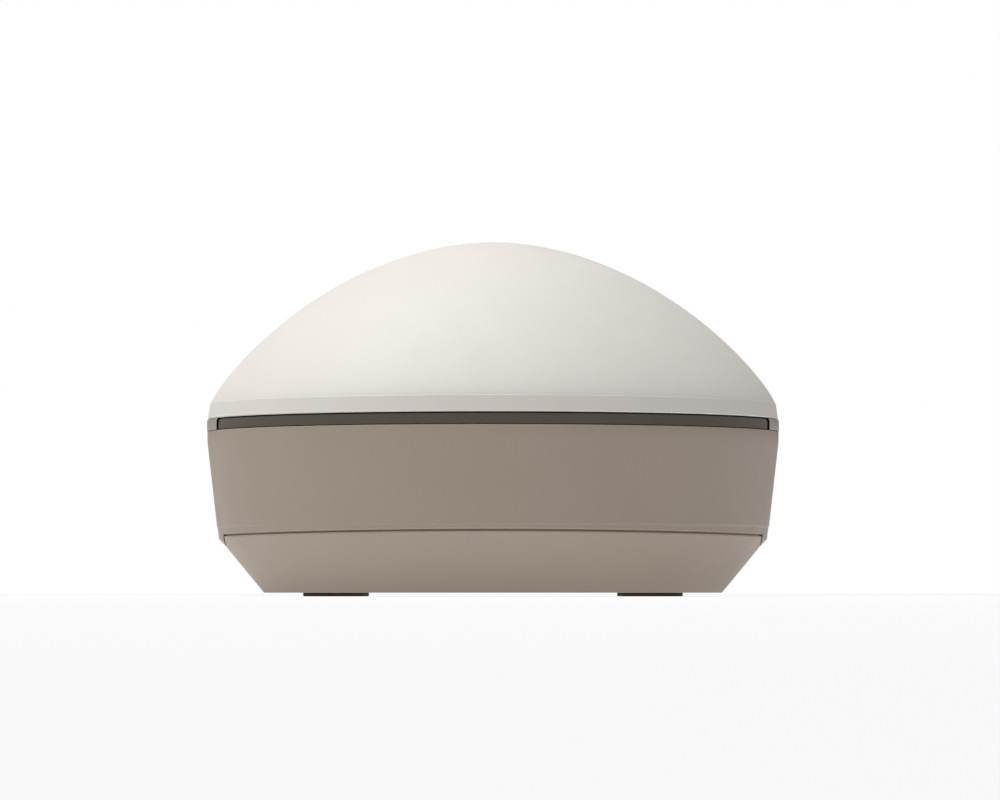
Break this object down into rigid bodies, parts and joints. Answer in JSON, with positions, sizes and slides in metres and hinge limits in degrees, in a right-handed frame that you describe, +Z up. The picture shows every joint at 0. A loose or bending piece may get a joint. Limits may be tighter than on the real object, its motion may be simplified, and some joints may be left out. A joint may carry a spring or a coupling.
{
  "type": "gnss receiver",
  "caption": "Round surveying satellite receiver: a white domed radome over a warm grey case with a light strip under the rim, a chamfered base and a pole thread underneath.",
  "frame": {"origin": "on the axis of the pole thread, level with the underside of the rubber feet", "axes": "+Z up through the dome; -Y towards the plain front; +Y towards the battery door; +X to the right seen from the front"},
  "size_m": [0.16, 0.16, 0.0991],
  "materials": {
    "white_radome": "smooth satin off-white",
    "warm_grey_case": "fine matt texture, warm grey",
    "trim_grey": "satin mid grey",
    "smoked_window": "glossy smoked brown",
    "black_rubber": "matt black",
    "steel": "plain stainless",
    "brass": "machined",
    "aluminium": "plain sheet or machined",
    "circuit_board": "green solder resist",
    "black_plastic": "moulded black",
    "antenna_laminate": "pale microwave laminate",
    "battery_wrap": "dark shrink wrap"
  },
  "bodies": {
    "receiver": {"antenna_bolt": "brass", "antenna_ground_plane": "aluminium", "antenna_patch_lower": "antenna_laminate", "antenna_patch_upper": "antenna_laminate", "antenna_post_1": "brass", "antenna_post_2": "brass", "antenna_post_3": "brass", "antenna_post_4": "brass", "antenna_spacer_lower": "black_plastic", "antenna_spacer_upper": "black_plastic", "battery_bay": "black_plastic", "battery_contacts": "black_plastic", "battery_pack": "battery_wrap", "board_screw_1": "steel", "board_screw_2": "steel", "board_screw_3": "steel", "board_screw_4": "steel", "bottom_case": "warm_grey_case", "button_board": "circuit_board", "case_screw_1": "steel", "case_screw_2": "steel", "case_screw_3": "steel", "case_screw_4": "steel", "data_socket": "aluminium", "door_pin": "steel", "foot_back_left": "black_rubber", "foot_back_right": "black_rubber", "foot_front_left": "black_rubber", "foot_front_right": "black_rubber", "housing": "warm_grey_case", "led_strip_back": "circuit_board", "led_strip_front": "circuit_board", "light_window_back": "smoked_window", "light_window_front": "smoked_window", "main_board": "circuit_board", "pole_insert": "brass", "radio_antenna_socket": "brass", "radio_shield": "aluminium", "radome": "white_radome", "radome_gasket": "black_rubber", "radome_screw_1": "steel", "radome_screw_2": "steel", "radome_screw_3": "steel", "radome_screw_4": "steel", "receiver_shield": "aluminium", "sim_holder": "steel", "trim_ring": "trim_grey", "usb_socket": "steel", "vent_plug": "black_plastic"},
    "battery_door": {"battery_door": "warm_grey_case"},
    "power_button": {"power_button": "trim_grey"},
    "function_button": {"function_button": "trim_grey"},
    "usb_flap": {"usb_flap": "black_rubber"},
    "data_flap": {"data_flap": "black_rubber"}
  },
  "joints": [
    {"name": "battery_door_hinge", "type": "hinge", "parent": "receiver", "child": "battery_door", "pos_m": [0.03592, 0.06912, 0.03236], "axis": [-0.0473, -0.0911, -0.9947], "range_deg": [0, 100]},
    {"name": "power_button_press", "type": "slide", "parent": "receiver", "child": "power_button", "axis": [-0.894, -0.4361, 0.1026], "range_m": [0, 0.0008], "stiffness_N_per_m": 700, "springref_m": -0.0004},
    {"name": "function_button_press", "type": "slide", "parent": "receiver", "child": "function_button", "axis": [-0.894, -0.4361, 0.1026], "range_m": [0, 0.0008], "stiffness_N_per_m": 700, "springref_m": -0.0004},
    {"name": "usb_flap_hinge", "type": "hinge", "parent": "receiver", "child": "usb_flap", "pos_m": [0.05078, 0.05842, 0.0285], "axis": [-0.7547, 0.6561, 0], "range_deg": [0, 95]},
    {"name": "data_flap_hinge", "type": "hinge", "parent": "receiver", "child": "data_flap", "pos_m": [-0.06817, 0.03625, 0.02661], "axis": [-0.4695, -0.8829, 0], "range_deg": [0, 95]}
  ]
}
